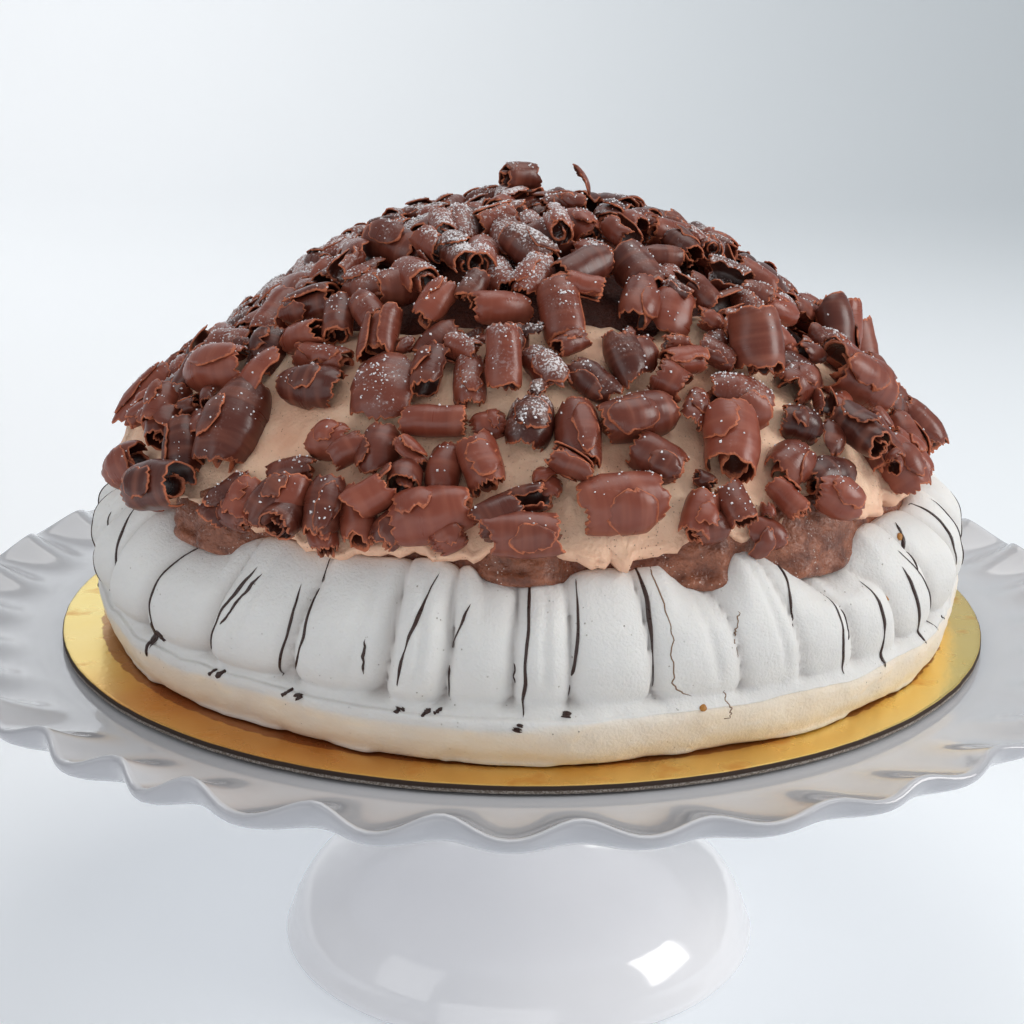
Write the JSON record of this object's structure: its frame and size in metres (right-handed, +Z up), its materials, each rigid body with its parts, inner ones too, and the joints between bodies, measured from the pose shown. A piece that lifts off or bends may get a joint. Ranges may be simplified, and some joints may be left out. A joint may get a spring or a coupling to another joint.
{
  "type": "chocolate vacherin on a cake stand",
  "caption": "Domed chocolate mousse dessert in a piped meringue shell, covered in chocolate curls, on a gold cake board and a white ruffled pedestal cake stand",
  "frame": {"origin": "centre of the underside of the stand's foot, on the surface it stands on", "axes": "+Z up along the stand's axis, -Y towards the front of the dessert, +X to the right"},
  "size_m": [0.379, 0.379, 0.2648],
  "materials": {
    "porcelain": "glossy white glaze",
    "gold_card": "gold foil laminated on grey card",
    "meringue": "dry matt meringue, toasted cream near the base",
    "dark_mousse": "rough dark chocolate mousse",
    "mousse": "soft satin milk chocolate mousse",
    "chocolate": "satin chocolate with ragged edges and icing sugar"
  },
  "bodies": {
    "root": {"cake_stand": "porcelain", "cake_board": "gold_card", "meringue_shell": "meringue", "chocolate_filling": "dark_mousse", "mousse_dome": "mousse", "curl_heap": "chocolate", "curl_petal_01": "chocolate", "curl_petal_02": "chocolate", "curl_petal_03": "chocolate", "curl_petal_04": "chocolate", "curl_petal_05": "chocolate", "curl_petal_06": "chocolate", "curl_petal_07": "chocolate", "curl_petal_08": "chocolate", "curl_petal_09": "chocolate", "curl_petal_10": "chocolate", "curl_petal_11": "chocolate", "curl_petal_12": "chocolate", "curl_petal_13": "chocolate", "curl_petal_14": "chocolate", "curl_petal_15": "chocolate", "curl_petal_16": "chocolate", "curl_petal_17": "chocolate", "curl_petal_18": "chocolate", "curl_petal_19": "chocolate", "curl_petal_20": "chocolate", "curl_petal_21": "chocolate", "curl_petal_22": "chocolate", "curl_petal_23": "chocolate", "curl_petal_24": "chocolate", "curl_petal_25": "chocolate", "curl_petal_26": "chocolate", "curl_petal_27": "chocolate", "curl_petal_28": "chocolate", "curl_petal_29": "chocolate", "curl_petal_30": "chocolate", "curl_petal_31": "chocolate", "curl_petal_32": "chocolate", "curl_petal_33": "chocolate", "curl_petal_34": "chocolate", "curl_scroll_01": "chocolate", "curl_scroll_02": "chocolate", "curl_scroll_03": "chocolate", "curl_scroll_04": "chocolate", "curl_scroll_05": "chocolate", "curl_scroll_06": "chocolate", "curl_scroll_07": "chocolate", "curl_scroll_08": "chocolate", "curl_scroll_09": "chocolate", "curl_shard_01": "chocolate", "curl_shard_02": "chocolate", "curl_shard_03": "chocolate", "curl_tube_01": "chocolate", "curl_tube_02": "chocolate", "curl_tube_03": "chocolate", "curl_tube_04": "chocolate", "curl_tube_05": "chocolate", "curl_tube_06": "chocolate", "curl_tube_07": "chocolate"}
  },
  "joints": []
}
